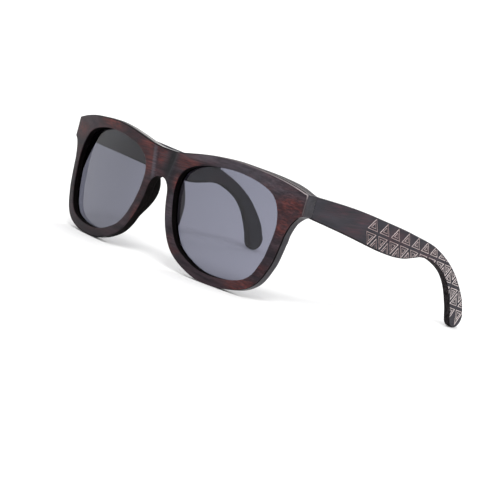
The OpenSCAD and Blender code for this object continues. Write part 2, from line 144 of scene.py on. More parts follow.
def curve(points, before=None):
    """Open curve through points; before is the point that the first stretch comes from."""
    p = [Vector(q) for q in points]
    p = [Vector(before) if before else 2 * p[0] - p[1]] + p + [2 * p[-1] - p[-2]]
    made = [through(*p[i:i + 4], j / CURVE_STEPS) for i in range(len(p) - 3) for j in range(CURVE_STEPS)]
    return made + [p[-2]]


def closed_curve(points):
    """Closed curve through points."""
    p = [Vector(q) for q in points]
    n = len(p)
    return [through(p[i - 1], p[i], p[(i + 1) % n], p[(i + 2) % n], j / CURVE_STEPS)
            for i in range(n) for j in range(CURVE_STEPS)]


def bend(a, b, c, n=CURVE_STEPS):
    """Quadratic bend from a to c, drawn towards b."""
    a, b, c = Vector(a), Vector(b), Vector(c)
    return [(1 - t) ** 2 * a + 2 * t * (1 - t) * b + t * t * c for t in (i / n for i in range(n + 1))]


def soft_corner(a, b, c, radius):
    """Rounded corner at b between a and c."""
    a, b, c = Vector(a), Vector(b), Vector(c)
    return bend(b + (a - b).normalized() * radius, b, b + (c - b).normalized() * radius, 6)


def outward(points, i):
    """Direction out of a clockwise closed outline at point i."""
    v = (points[(i + 1) % len(points)] - points[i - 1]).normalized()
    return Vector((-v.y, v.x))


def evenly_open(points, step=STEP):
    """An open line again, with points about one step apart."""
    p = np.array([tuple(q) for q in points])
    run = np.concatenate([[0], np.cumsum(np.hypot(*np.diff(p, axis=0).T))])
    at = np.linspace(0, run[-1], int(run[-1] / step) + 1)
    return [Vector((x, z)) for x, z in zip(np.interp(at, run, p[:, 0]), np.interp(at, run, p[:, 1]))]


def evenly(points, step=STEP):
    """A closed outline again, with points about one step apart."""
    return evenly_open(points + points[:1], step)[:-1]


def inside(points, outline):
    """Which of the points lie inside a closed outline."""
    p, q = np.asarray(points, float), np.array([tuple(v) for v in outline])
    found = np.zeros(len(p), bool)
    for (x0, z0), (x1, z1) in zip(q, np.roll(q, -1, axis=0)):
        if z0 != z1:
            crosses = (p[:, 1] < z0) != (p[:, 1] < z1)
            found ^= crosses & (p[:, 0] < x0 + (p[:, 1] - z0) * (x1 - x0) / (z1 - z0))
    return found


def rectangle(x0, x1, z0, z1):
    """Closed outline of a rectangle."""
    return [Vector(p) for p in ((x0, z0), (x1, z0), (x1, z1), (x0, z1), (x0, z0))]


def within(points, x0, x1, z0, z1):
    """Which of the points lie in a rectangle."""
    x, z = points.T
    return (x > x0) & (x < x1) & (z > z0) & (z < z1)


def smoothstep(low, high, value):
    """0 up to low, 1 from high on, and smooth between them."""
    t = min(1, max(0, (value - low) / (high - low)))
    return t * t * (3 - 2 * t)


def mirrored(points):
    """The outline on the other side of the nose, still clockwise."""
    return [Vector((-p.x, p.y)) for p in reversed(points)]


OPENING = closed_curve([(LENS_X + x * LENS_W / 2, LENS_Z + z * LENS_H / 2) for x, z in LENS_SHAPE])


def rim(t):
    """Width of the rim at stretch t of the opening, from the outer side round to the nose."""
    return (RIM_LOW + (RIM_SIDE - RIM_LOW) * max(0, 1 - t / 3) ** 2
            + (RIM_NOSE - RIM_LOW) * max(0, (t - 6) / 3.5))


def beside_opening(i, distance):
    """Point at a distance out of the opening's point i."""
    return OPENING[i] + outward(OPENING, i) * distance


def front_outline():
    """Outline of the front board, clockwise from the middle of the brow."""
    rim_run = [beside_opening(i, rim(i / CURVE_STEPS))
               for i in range(CURVE_STEPS // 3, int(RIM_END * CURVE_STEPS) + 1)]
    rim_end = rim_run[-1]
    side_points = [(BRIDGE_W * 0.4, BRIDGE_TOP + BRIDGE_DIP * 0.1), (BRIDGE_W, BRIDGE_TOP + BRIDGE_DIP * 0.6),
                   (LENS_X - LENS_W * 0.115, BROW_Z - BRIDGE_DIP * 0.09), (LENS_X + LENS_W * 0.076, BROW_Z),
                   (LENS_X + LENS_W * 0.344, BROW_Z - END_DROP * 0.18),
                   (HALF_W - LENS_W * 0.153, END_TOP + END_DROP * 0.467), (HALF_W, END_TOP)]
    brow = curve([(0, BRIDGE_TOP)] + side_points, before=(-BRIDGE_W * 0.4, BRIDGE_TOP + BRIDGE_DIP * 0.1))
    top_corner = soft_corner(brow[-2], (HALF_W, END_TOP), (HALF_W, END_Z), EDGE_TEMPLE_OUT)
    low_corner = soft_corner((HALF_W, END_TOP), (HALF_W, END_Z), (HALF_W - 5, END_Z), EDGE_TEMPLE_OUT)
    notch = bend((HALF_W - EDGE_TEMPLE_OUT, END_Z), (rim_run[0].x + NOTCH_SOFT, END_Z - NOTCH_SOFT), rim_run[0])
    arch = bend(rim_end, (rim_end.x * 0.84, NOSE_ARCH), (0, NOSE_ARCH))
    half = [p for p in brow if p.x < HALF_W - EDGE_TEMPLE_OUT] + top_corner + low_corner
    half += notch[1:] + rim_run[1:] + arch[1:]
    return evenly(half + [Vector((-p.x, p.y)) for p in reversed(half[1:-1])])


# Surfaces of the front board, as depths behind the middle of the bow

def bow(x, depth=0.0):
    """The bowed sheet at a depth behind the front face."""
    return BOW_R - math.sqrt((BOW_R - depth) ** 2 - x * x)


def hollow_depth(z):
    """Depth of the hollow across the bridge, in the middle at height z."""
    return SCOOP_LOW + (SCOOP_TOP - SCOOP_LOW) * (z - NOSE_ARCH) / (BRIDGE_TOP - NOSE_ARCH)


def ridge_x(z):
    """Distance of the hollow's two ridges from the middle at height z."""
    return math.sqrt(2 * hollow_depth(z) / (1 / SCOOP_R + 1 / BOW_R))


def face_y(x, z):
    """Front face: the bow, with the shallow hollow across the bridge."""
    low = bow(x)
    if abs(x) > SCOOP_R / 2:
        return low
    hollow = hollow_depth(z) - SCOOP_R + math.sqrt(SCOOP_R**2 - x * x)
    soft = 0.08
    blend = max(0, soft - abs(hollow - low)) / soft
    return max(low, hollow) + blend * blend * soft / 4


def back_y(x, z):
    """Back face: the bow, and the thick block that carries a hinge and slopes down to it."""
    sheet = bow(x, FRONT_T)
    flat = HALF_W - END_BLOCK
    fall = (SEAM_Y - bow(flat - END_SLOPE, FRONT_T)) / END_SLOPE
    block = SEAM_Y - max(0, flat - abs(x)) * fall
    edge_x = LENS_X + LENS_W / 2
    across = (abs(x) - edge_x + RIM_SIDE / 2) / (RIM_SIDE * 1.5)
    brace = BRACE_T * max(0, 1 - max(0, across, (END_Z - z) / BRACE_L)) * smoothstep(-0.1, 0, across)
    below = brace * smoothstep(END_Z + 1, END_Z, z)
    beside = (block - sheet) * smoothstep(END_Z - 0.8, END_Z + 1, z)
    return sheet + max(below, beside)


def back_edge(p):
    """Rounding of the back edge, small where the temple meets the end piece."""
    near = smoothstep(SEAM_FROM, SEAM_FULL, abs(p.x)) * smoothstep(END_Z - 4, END_Z - 1, p.y)
    return EDGE_BACK + (EDGE_SEAM - EDGE_BACK) * near


# Mesh building

class Shape:
    """Points, faces and material numbers of one mesh, in millimetres."""

    def __init__(self):
        self.points, self.faces, self.marks = [], [], []

    def ring(self, points):
        """Adds points and gives their numbers."""
        start = len(self.points)
        self.points += [tuple(p) for p in points]
        return list(range(start, len(self.points)))

    def face(self, corners, mark=0):
        self.faces.append(corners)
        self.marks.append(mark)

    def bridge(self, a, b, mark=0):
        """Joins two rings; mark is one material number or one for each point."""
        n = len(a)
        for i in range(n):
            self.face([a[i], a[(i + 1) % n], b[(i + 1) % n], b[i]], mark if isinstance(mark, int) else mark[i])

    def other_side(self):
        """The same shape on the other side of the nose."""
        twin = Shape()
        twin.points = [(-x, y, z) for x, y, z in self.points]
        twin.faces, twin.marks = self.faces, self.marks
        return twin

    def cap(self, rings, place, spacing=FILL, fine=None, lines=(), sunk=None, marks=(0, 0, 0)):
        """Fills the flat between closed rings of points. Each ring is its point numbers and its outline, the
        outer one first. Faces where sunk(centres) gives a depth lie that much lower, between upright walls.
        marks are the materials of the face and of the walls, and a number or a function of the centres for
        the sunk floor."""
        flat, edges, known = [], [], []
        for numbers, outline in rings:
            base = len(flat)
            flat += [Vector(p) for p in outline]
            edges += [(base + i, base + (i + 1) % len(outline)) for i in range(len(outline))]
            known += numbers
        tree = kdtree.KDTree(len(flat))
        for i, p in enumerate(flat):
            tree.insert((p.x, p.y, 0), i)
        tree.balance()
        for line in lines:
            base = len(flat)
            flat += [Vector(p) for p in line]
            edges += [(base + i, base + i + 1) for i in range(len(line) - 1)]
        flat += [p for p in fill_points(rings, spacing, fine) if tree.find((p.x, p.y, 0))[2] > CLEAR * spacing]
        made, _, faces, origin, _, _ = delaunay_2d_cdt(flat, edges, [], 0, TINY, True)
        centres = np.array([sum((made[i] for i in f), Vector((0, 0))) / len(f) for f in faces])
        keep = inside(centres, rings[0][1])
        for _, outline in rings[1:]:
            keep &= ~inside(centres, outline)
        depth = sunk(centres) * keep if sunk else np.zeros(len(faces))
        floors = marks[2](centres) if callable(marks[2]) else [marks[2]] * len(faces)
        numbers = {}

        def number(i, low):
            if (i, low) not in numbers:
                old = [o for o in origin[i] if o < len(known)]
                if old and low == 0:
                    numbers[i, low] = known[old[0]]
                else:
                    numbers[i, low] = self.ring([place(made[i].x, made[i].y, low)])[0]
            return numbers[i, low]

        sides = {}
        for f, kept, low, floor in zip(faces, keep, depth, floors):
            if not kept:
                continue
            low = float(low)
            self.face([number(i, low) for i in f], int(floor) if low else marks[0])
            for a, b in zip(f, f[1:] + f[:1]):
                sides.setdefault(frozenset((a, b)), []).append(low)
        for edge, lows in sides.items():
            if len(lows) == 2 and lows[0] != lows[1]:
                a, b = edge
                corners = (a, lows[0]), (b, lows[0]), (b, lows[1]), (a, lows[1])
                self.face([number(i, low) for i, low in corners], marks[1])


def fill_points(rings, spacing, fine):
    """Points in rows inside the outer ring, closer together where fine says so."""
    outline = np.array([tuple(p) for p in rings[0][1]])
    low, high = outline.min(0), outline.max(0)

    def rows(step):
        xs = np.arange(low[0], high[0], step)
        zs = np.arange(low[1], high[1], step * ROW_RISE)
        return [Vector((x + (step / 2 if j % 2 else 0), z)) for j, z in enumerate(zs) for x in xs]

    points = [p for p in rows(spacing) if not (fine and fine(p))]
    if fine:
        points += [p for p in rows(spacing / FINER) if fine(p)]
    return points


def rounding(radius):
    """Steps of a quarter round from the face to the wall, as (inset from the wall, depth below the face)."""
    angles = [math.pi / 2 * i / ROUND_STEPS for i in range(ROUND_STEPS + 1)]
    return [(radius * (1 - math.sin(a)), radius * (1 - math.cos(a))) for a in angles]


def row(point):
    """A point in millimetres as metres in the shared frame."""
    x, y, z = point
    return (x * MM, (y - MID_Y) * MM, z * MM)


def add_piece(name, shape, materials, body, slot, *nodes):
    """Makes the mesh object in the shared frame, in place of the nodes, and puts it on its body; when body is
    instead the two names with the points where it leaves the first and reaches the second, it is put on no body."""
    mesh = bpy.data.meshes.new(name)
    mesh.from_pydata([row(p) for p in shape.points], [], shape.faces)
    for material in materials:
        mesh.materials.append(material)
    mesh.polygons.foreach_set("material_index", shape.marks)
    work = bmesh.new()
    work.from_mesh(mesh)
    bmesh.ops.recalc_face_normals(work, faces=work.faces)
    work.to_mesh(mesh)
    work.free()
    mesh.shade_smooth()
    mesh.set_sharp_from_angle(angle=SHARP)
    piece = bpy.data.objects.new(name, mesh)
    bpy.context.scene.collection.objects.link(piece)
    even = piece.modifiers.new("even_normals", "WEIGHTED_NORMAL")
    even.keep_sharp = True
    if isinstance(body, str):
        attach(piece, body)
    else:
        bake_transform(piece)
    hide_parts(*nodes)


# Materials

AXIS_X, AXIS_Y, AXIS_Z = range(3)

# Marks in the materials, as length and width in metres
BAND, STREAK, STROKE_MARK, PATCH = (0.045, 0.005), (0.022, 0.0007), (0.009, 0.0007), (0.026, 0.010)
# In the next line, the second mark breaks up the painted edge highlight
FLECK, HIGHLIGHT_MARK, STAIN_GRAIN, TOP_GRAIN = (0.0022, 0.0004), (0.02, 0.006), (0.006, 0.0007), (0.02, 0.0007)
CHAR, PLY_GRAIN, BRUSH, TARNISH = (0.003, 0.0008), (0.012, 0.0008), (0.006, 0.0002), (0.004, 0.003)

# Colours; a pair is mixed by the grain
# The second colour here is a paler grey: painted highlights on the hollow's ridges and plain greyer patches
# elsewhere; the first is the near-black of painted shade
SHADOW, PALE_GREY, PORE = (0.006, 0.006, 0.008, 1), (0.072, 0.066, 0.080, 1), (0.16, 0.13, 0.13, 1)
# Near-black of stain and painted shade, the pale colour of a painted highlight on the brow edge, and the paler
# colour of painted reflections on the rims' back
STAIN_AND_SHADE, EDGE_HIGHLIGHT, RIM_REFLECTION = (0.0015, 0.0012, 0.0013, 1), (0.28, 0.245, 0.25, 1), (0.145, 0.126, 0.128, 1)
# Near-black of the opening walls and rims' back, partly stain and partly painted shade; of the walls round the nose
# and of the temples' lower edges, painted shade
WALL_STAIN_AND_SHADE, NOSE_SHADE, LOW_EDGE_SHADE = (0.004, 0.003, 0.003, 1), (0.009, 0.007, 0.007, 1), (0.040, 0.034, 0.037, 1)
TOP_TONES, TOP_PALE = ((0.006, 0.006, 0.008, 1), (0.013, 0.011, 0.014, 1)), (0.055, 0.050, 0.053, 1)
PLY_TONES = (0.16, 0.137, 0.143, 1), (0.34, 0.29, 0.29, 1)
TINT_TONES, TINT_SLANT = ((0.247, 0.251, 0.320, 1), (0.223, 0.228, 0.294, 1)), (0.094, 0.096, 0.123, 1)
STEEL_TONES = (0.055, 0.055, 0.06, 1), (0.13, 0.13, 0.135, 1)
FLOOR_TONES = (0.86, 0.86, 0.86, 1), (0.88, 0.88, 0.88, 1)
CUT_BY_HINGE, CUT_BY_TIP = (((0.37, 0.285, 0.28, 1), (0.60, 0.48, 0.47, 1)),
                            ((0.59, 0.53, 0.52, 1), (0.91, 0.84, 0.83, 1)))
# The next pair is paler, painted light on the engraved strokes' rising sides where their groove walls catch the
# light
LIT_BY_HINGE, LIT_BY_TIP = (((0.70, 0.62, 0.61, 1), (0.96, 0.90, 0.89, 1)),
                                ((0.72, 0.66, 0.65, 1), (0.96, 0.91, 0.90, 1)))

# Dark, warm and red tones of the wood
FACE_TONES = (0.014, 0.011, 0.0145, 1), (0.036, 0.024, 0.029, 1), (0.130, 0.033, 0.028, 1)
WALL_TONES = (0.016, 0.014, 0.019, 1), (0.026, 0.024, 0.031, 1), (0.032, 0.020, 0.024, 1)
# The next tones are near-black, a painted dark reflection along the rounded front edge
EDGE_TONES = (0.006, 0.006, 0.008, 1), (0.010, 0.009, 0.012, 1), (0.014, 0.009, 0.010, 1)
# The pads' tones are far paler than the face: painted light on their lens side
PAD_LIT_TONES = (0.115, 0.100, 0.102, 1), (0.175, 0.152, 0.154, 1), (0.150, 0.115, 0.112, 1)
TEMPLE_TONES = (0.012, 0.012, 0.019, 1), (0.024, 0.021, 0.029, 1), (0.062, 0.021, 0.030, 1)


class Look:
    """A node material built a node at a time."""

    def __init__(self, name):
        self.material = bpy.data.materials.new(name)
        self.material.use_nodes = True
        self.tree = self.material.node_tree
        self.shader = self.tree.nodes["Principled BSDF"]
        self.place = self.node("ShaderNodeTexCoord").outputs["Object"]

    def node(self, kind, inputs=None, **settings):
        made = self.tree.nodes.new(kind)
        for key, value in settings.items():
            setattr(made, key, value)
        for key, value in (inputs or {}).items():
            self.put(made.inputs[key], value)
        return made

    def put(self, socket, value):
        if isinstance(value, bpy.types.NodeSocket):
            self.tree.links.new(value, socket)
        else:
            socket.default_value = value

    def set(self, **sockets):
        for key, value in sockets.items():
            self.put(self.shader.inputs[key.replace("_", " ")], value)

    def axis(self, name):
        """One coordinate of the place, in metres."""
        return self.node("ShaderNodeSeparateXYZ", {"Vector": self.place}).outputs[name]

    def noise(self, scale, detail=3.0, rough=0.55, warp=0.0, shift=(0, 0, 0)):
        """Noise stretched by a scale along each axis."""
        vector = self.node("ShaderNodeMapping", {"Vector": self.place, "Scale": scale, "Location": shift})
        return self.node("ShaderNodeTexNoise", {
            "Vector": vector.outputs["Vector"], "Scale": 1.0, "Detail": detail, "Roughness": rough,
            "Distortion": warp}).outputs["Fac"]

    def span(self, value, low, high, out_low=0.0, out_high=1.0):
        """A value from low to high as one from out_low to out_high."""
        return self.node("ShaderNodeMapRange", {"Value": value, "From Min": low, "From Max": high,
                                                "To Min": out_low, "To Max": out_high}).outputs["Result"]

    def mix(self, factor, a, b, kind="MIX"):
        made = self.node("ShaderNodeMix", data_type="RGBA", blend_type=kind)
        for index, value in ((0, factor), (6, a), (7, b)):
            self.put(made.inputs[index], value)
        return made.outputs[2]

    def math(self, kind, a, b):
        made = self.node("ShaderNodeMath", operation=kind)
        self.put(made.inputs[0], a)
        self.put(made.inputs[1], b)
        return made.outputs[0]

    def times(self, a, b):
        return self.math("MULTIPLY", a, b)

    def spot(self, centre, reach, lean=0.0):
        """1 at a centre, falling to 0 at a reach in metres along each axis; lean turns it about the depth."""
        vector = self.node("ShaderNodeMapping", {
            "Vector": self.place, "Location": centre, "Rotation": (0, lean, 0), "Scale": reach},
            vector_type="TEXTURE").outputs["Vector"]
        ball = self.node("ShaderNodeTexGradient", {"Vector": vector}, gradient_type="SPHERICAL")
        return self.span(ball.outputs["Fac"], 0.0, 0.7)

    def bump(self, height, distance, strength):
        self.put(self.shader.inputs["Normal"], self.node("ShaderNodeBump", {
            "Height": height, "Distance": distance, "Strength": strength}).outputs["Normal"])


def along(grain, length, width):
    """Texture scale for marks of that length and width in metres, along axis number grain."""
    return tuple(1 / (length if axis == grain else width) for axis in range(3))


def wood(name, grain, dark, warm, red, sheen, gloss=0.22, spots=(), shadows=(), ridges=(), fleck=0.2, edge_highlight=None):
    """Oiled dark wood: broad bands, thin streaks, short strokes of red heartwood that gather in spots, and open
    pores. spots are (centre, reach) in metres, shadows are spots of painted shade (centre, reach, share), ridges
    are pale grey stretches (centre, reach, lean, share), and the last argument is the colour of a painted
    highlight on an edge towards the wearer's left."""
    look = Look(name)
    bands = look.noise(along(grain, *BAND), detail=4, warp=0.8)
    streaks = look.noise(along(grain, *STREAK), detail=5, rough=0.7, shift=(3, 1, 7))
    strokes = look.noise(along(grain, *STROKE_MARK), detail=3, rough=0.6, warp=0.4, shift=(8, 2, 5))
    patches = look.noise(along(grain, *PATCH), detail=2, rough=0.5, warp=0.9, shift=(11, 5, 2))
    flecks = look.noise(along(grain, *FLECK), detail=2, shift=(1, 9, 4))
    colour = look.mix(look.span(bands, 0.35, 0.65), dark, warm)
    gathered = look.span(patches, 0.5, 0.72, 0.0, 0.6)
    for centre, reach in spots:
        gathered = look.math("MAXIMUM", gathered, look.spot(centre, reach))
    colour = look.mix(look.times(gathered, look.span(strokes, 0.4, 0.8, 0.12, 1.0)), colour, red)
    # Painted shade: each shadow darkens its spot towards near-black
    for centre, reach, share in shadows:
        colour = look.mix(look.times(look.spot(centre, reach), share), colour, SHADOW)
    # Paler grey stretches: on the hollow's ridges, painted highlights
    for centre, reach, lean, share in ridges:
        colour = look.mix(look.times(look.spot(centre, reach, lean), share), colour, PALE_GREY)
    shade = look.span(streaks, 0.3, 0.7, 0.55, 1.4)
    grey = look.node("ShaderNodeCombineXYZ", {"X": shade, "Y": shade, "Z": shade}).outputs["Vector"]
    colour = look.mix(1.0, colour, grey, "MULTIPLY")
    pores = look.span(flecks, 0.70, 0.76)
    colour = look.mix(look.times(pores, fleck), colour, PORE)
    # Painted highlight on the upper edge towards the wearer's left, broken up by noise
    if edge_highlight:
        highlit = look.noise(along(grain, *HIGHLIGHT_MARK), detail=3, rough=0.6, shift=(6, 6, 1))
        share = look.times(look.span(look.axis("X"), 0.015, 0.06), look.span(highlit, 0.3, 0.6, 0.35, 1.0))
        share = look.times(share, look.span(look.axis("Z"), 0.0450, 0.0468, 0.3, 1.0))
        colour = look.mix(share, colour, edge_highlight)
    look.set(Base_Color=colour, Roughness=look.span(streaks, 0.3, 0.7, sheen - 0.05, sheen + 0.08),
             Specular_IOR_Level=gloss)
    look.bump(look.math("SUBTRACT", look.times(streaks, 0.6), pores), 0.00005, 0.4)
    return look.material


def stained_and_shaded(name, light, highlit=(), reflection_colour=None):
    """Near-black over fine grain, on walls, edges and round the nose, partly stain and partly painted shade, with
    painted reflections of a paler colour in the spots (centre, reach)."""
    look = Look(name)
    grain = look.noise(along(AXIS_Z, *STAIN_GRAIN), detail=4, rough=0.65)
    colour = look.mix(look.span(grain, 0.35, 0.7), STAIN_AND_SHADE, light)
    for centre, reach in highlit:
        colour = look.mix(look.spot(centre, reach), colour, reflection_colour)
    look.set(Base_Color=colour, Roughness=look.span(grain, 0.3, 0.7, 0.6, 0.75), Specular_IOR_Level=0.02)
    look.bump(grain, 0.00004, 0.4)
    return look.material


def top_wall(name):
    """Dark upper wall of the board, polished by the bridge, dull towards the ends and paler grey towards the
    wearer's left end.
    """
    look = Look(name)
    grain = look.noise(along(AXIS_X, *TOP_GRAIN), detail=4, rough=0.65)
    side = look.axis("X")
    colour = look.mix(look.span(grain, 0.35, 0.7), *TOP_TONES)
    dull = look.span(look.math("ABSOLUTE", side, 0), 0.022, 0.042, 0.2, 0.75)
    look.set(Base_Color=look.mix(look.span(side, 0.046, 0.064), colour, TOP_PALE),
             Roughness=look.math("ADD", dull, look.span(grain, 0.3, 0.7, 0.0, 0.08)), Specular_IOR_Level=0.35)
    look.bump(grain, 0.00004, 0.4)
    return look.material


def engraved(name, by_hinge, by_tip):
    """Bare wood at the bottom of the engraved lines, each tone a pair of a charred and a clean colour."""
    look = Look(name)
    char = look.noise(along(AXIS_Y, *CHAR), detail=4)
    clean = look.span(char, 0.3, 0.7)
    colour = look.mix(look.span(look.axis("Y"), 0.0, 0.055), look.mix(clean, *by_hinge), look.mix(clean, *by_tip))
    look.set(Base_Color=colour, Roughness=0.75)
    look.bump(char, 0.00004, 0.5)
    return look.material


def ply_line(name):
    """Pale layer of the laminated board, seen as a thin line in its wall."""
    look = Look(name)
    grain = look.noise(along(AXIS_X, *PLY_GRAIN), detail=4)
    look.set(Base_Color=look.mix(look.span(grain, 0.3, 0.7), *PLY_TONES), Roughness=0.6)
    look.bump(grain, 0.00003, 0.4)
    return look.material


def tinted_lens(name):
    """Grey-violet tinted lens, a touch darker towards the brow and where it is looked through at a slant."""
    look = Look(name)
    cloud = look.noise((60, 60, 60), detail=1)
    height = look.math("ADD", look.axis("Z"), look.span(cloud, 0.3, 0.7, -0.004, 0.004))
    tint = look.mix(look.span(height, 0.0, 0.055), *TINT_TONES)
    slant = look.node("ShaderNodeLayerWeight", {"Blend": 0.5}).outputs["Facing"]
    look.set(Base_Color=look.mix(look.span(slant, 0.0, 0.42), tint, TINT_SLANT), Transmission_Weight=1.0,
             Roughness=0.0, IOR=1.34)
    return look.material


def dark_steel(name, rough):
    """Dark brushed steel of the hinge pieces, a little paler where it is scuffed."""
    look = Look(name)
    brush = look.noise(along(AXIS_Y, *BRUSH), detail=3)
    stains = look.noise(along(AXIS_Y, *TARNISH), detail=3, shift=(4, 2, 8))
    look.set(Base_Color=look.mix(stains, *STEEL_TONES), Metallic=1.0,
             Roughness=look.span(brush, 0.3, 0.7, rough - 0.06, rough + 0.1))
    look.bump(brush, 0.00002, 0.4)
    return look.material


def pale_floor(name):
    """Matt pale floor, faintly cloudy."""
    look = Look(name)
    colour = look.mix(look.noise((3, 3, 3), detail=2), *FLOOR_TONES)
    look.set(Base_Color=colour, Roughness=0.9, Specular_IOR_Level=0.1)
    return look.material


def face_spots(*places):
    """Spots on the front face from middle x, middle z, reach across and reach up, in millimetres."""
    return [((x * MM, (bow(x) - MID_Y) * MM, z * MM), (wide * MM, 0.03, high * MM))
            for x, z, wide, high in places]


def temple_spots(*places):
    """Spots on both temples from run behind the seam, height, reach in length and reach up, in millimetres."""
    return [((0, (SEAM_Y + run - MID_Y) * MM, z * MM), (0.3, wide * MM, high * MM)) for run, z, wide, high in places]


RED_PATCHES = face_spots((-12, 46, 9, 6), (-9, 40, 5, 8), (-2.5, 43.5, 3, 6), (14, 45, 10, 5), (66, 41, 7, 5),
                         (65, 32, 4, 6), (55, 4, 12, 5), (-8, 14, 5, 9), (-40, 50, 14, 4), (-66, 42, 7, 5),
                         (10.5, 35, 3, 5))
# Painted shade: near-black spots on the hollow's slope on the wearer's left of the bridge, on the outer rim and on
# the lower rim on the wearer's right
SHADE_SPOTS = face_spots((4.2, 42, 4.4, 13), (-68, 20, 12, 30), (-40, 2, 30, 8))
PAINTED_SHADE_PATCHES = [(*spot, share) for spot, share in zip(SHADE_SPOTS, (1, 0.8, 0.5))]
# Painted reflections: paler spots on the back rounding of the rims by the nose
RIM_BACK_REFLECTIONS = face_spots((11, 29, 14, 24), (-11, 29, 14, 24))
RIDGE_MID = (BRIDGE_TOP + NOSE_ARCH) / 2
RIDGE_LEAN = math.atan((ridge_x(BRIDGE_TOP) - ridge_x(NOSE_ARCH)) / (BRIDGE_TOP - NOSE_ARCH))
# The first two spots are painted highlights on the hollow's two ridges, strong on the wearer's right and faint on
# the left; the other three are plain greyer patches
GREY_AND_HIGHLIGHT_SPOTS = face_spots((-ridge_x(RIDGE_MID), RIDGE_MID, 1.5, 16), (ridge_x(RIDGE_MID), RIDGE_MID, 1.5, 16),
                          (45, 48.5, 30, 6.5), (20, 48.6, 13, 3), (10.5, 23, 4, 12))
GREY_AND_HIGHLIGHT_PATCHES = [(*spot, lean, share) for spot, lean, share in zip(
    GREY_AND_HIGHLIGHT_SPOTS, (-RIDGE_LEAN, RIDGE_LEAN, 0.1, -0.15, 0), (0.6, 0.15, 0.42, 0.5, 0.32))]
TEMPLE_PATCHES = temple_spots((16, 43.5, 12, 4), (34, 41, 10, 5), (29, 35.5, 12, 4), (60, 36, 14, 6),
                              (84, 31, 12, 6))
FRONT_WOOD = wood("front_wood", AXIS_X, *FACE_TONES, 0.42, gloss=0.1, spots=RED_PATCHES, shadows=PAINTED_SHADE_PATCHES,
                  ridges=GREY_AND_HIGHLIGHT_PATCHES)
BACK_WOOD = wood("back_wood", AXIS_X, *FACE_TONES, 0.42, gloss=0.1)
WALL_WOOD = wood("wall_wood", AXIS_X, *WALL_TONES, 0.32, gloss=0.32, fleck=0.05)
TOP_WALL = top_wall("top_wall")
PAD_LIT_WOOD = wood("pad_lit_wood", AXIS_Z, *PAD_LIT_TONES, 0.45, gloss=0.1, fleck=0.05)
# The rounded front edge: near-black as a painted dark reflection, with a painted highlight on the brow towards the
# wearer's left
EDGE_WOOD = wood("edge_dark_reflection_and_highlight", AXIS_X, *EDGE_TONES, 0.5, gloss=0.05, edge_highlight=EDGE_HIGHLIGHT)
TEMPLE_WOOD = wood("temple_wood", AXIS_Y, *TEMPLE_TONES, 0.42, spots=TEMPLE_PATCHES, fleck=0.08)
# Opening walls: near-black, partly the wood's dark end grain and partly painted shade of the deep walls
DARK_WALL = stained_and_shaded("opening_wall", WALL_STAIN_AND_SHADE)
# Walls round the nose and the pads' nose sides: near-black, painted shade
NOSE_WALL = stained_and_shaded("nose_wall", NOSE_SHADE)
# Back rounding of the openings: near-black, with painted reflections on the rims by the nose
RIM_BACK = stained_and_shaded("rim_back", WALL_STAIN_AND_SHADE, RIM_BACK_REFLECTIONS, RIM_REFLECTION)
PALE_PLY_WOOD = ply_line("pale_ply")
PALE_LINE = engraved("engraved_line", CUT_BY_HINGE, CUT_BY_TIP)
# Rising sides of the strokes: paler, painted light
LIT_SLANT = engraved("engraved_lit_slant", LIT_BY_HINGE, LIT_BY_TIP)
# Lower edges of the temples: near-black, painted shade
TEMPLE_LOW_SHADE = stained_and_shaded("temple_low_edge_shade", LOW_EDGE_SHADE)
LENS_TINT = tinted_lens("lens_tint")
STEEL = dark_steel("hinge_steel", 0.36)
SCREW_STEEL = dark_steel("screw_steel", 0.28)


# Front board

WOOD, EDGE, WALL, OPENING_WALL, NOSE, PLY, TOP, BEHIND, BACK = range(9)
FRONT_LOOKS = [FRONT_WOOD, EDGE_WOOD, WALL_WOOD, DARK_WALL, NOSE_WALL, PALE_PLY_WOOD, TOP_WALL, RIM_BACK, BACK_WOOD]


